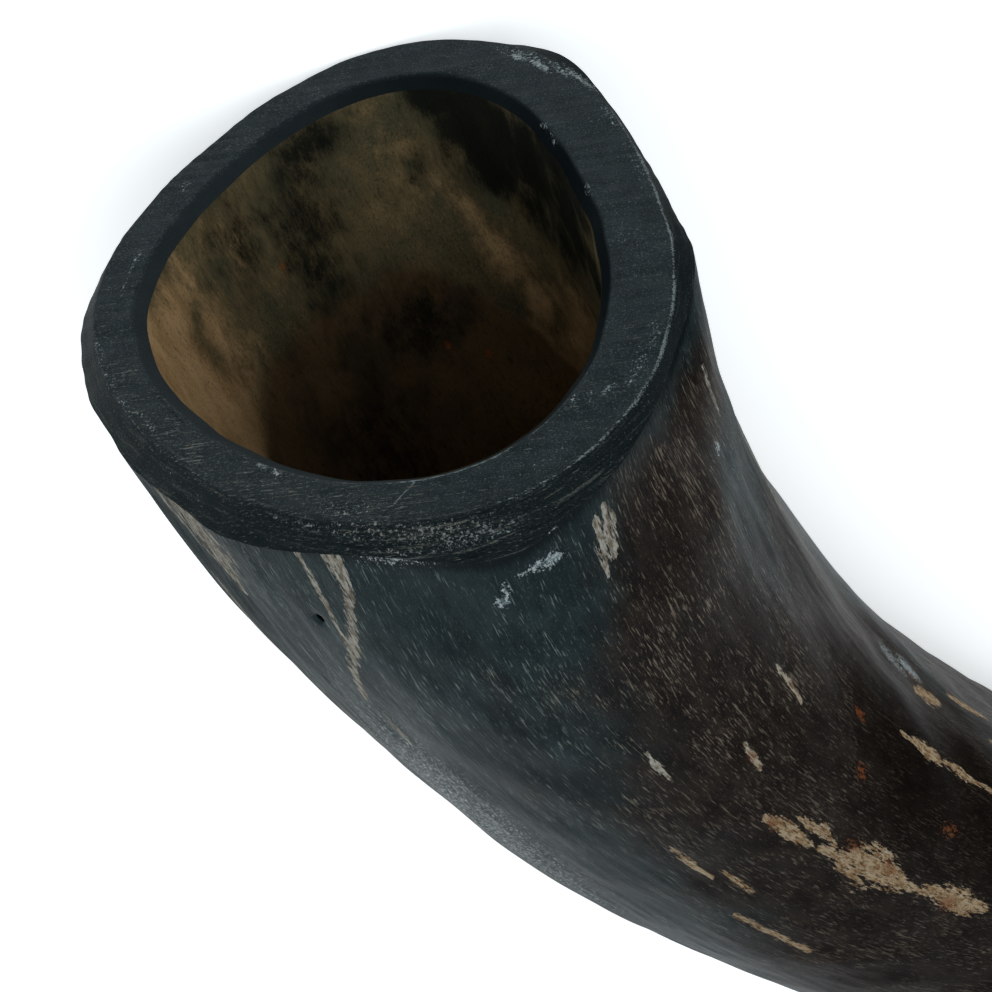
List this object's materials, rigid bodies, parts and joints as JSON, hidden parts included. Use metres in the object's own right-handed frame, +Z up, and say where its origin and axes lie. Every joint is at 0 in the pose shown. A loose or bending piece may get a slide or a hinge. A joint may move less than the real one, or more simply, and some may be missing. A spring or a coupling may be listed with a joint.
{
  "type": "shofar",
  "caption": "Blowing horn made of one dark natural animal horn, sawn and chamfered at the bell and hollow inside, with a drilled mouthpiece carved in its tip.",
  "frame": {"origin": "centre of the bounding box's base, on the surface that the horn lies on", "axes": "+Z up, the bell opens towards -X, and the horn bends towards +Y; it lies on its rim, belly and tip"},
  "size_m": [0.3246, 0.303, 0.0924],
  "materials": {
    "black_horn": "natural black horn keratin with pale flecks along the grain, semi-matte; rim sawn and sanded",
    "tan_horn": "raw tan-brown inner horn, fibrous and stained, matt",
    "tip_horn": "solid black horn, rubbed smooth, low sheen"
  },
  "bodies": {
    "root": {"horn_sheath": "black_horn", "inner_layer": "tan_horn", "solid_tip": "tip_horn"}
  },
  "joints": []
}
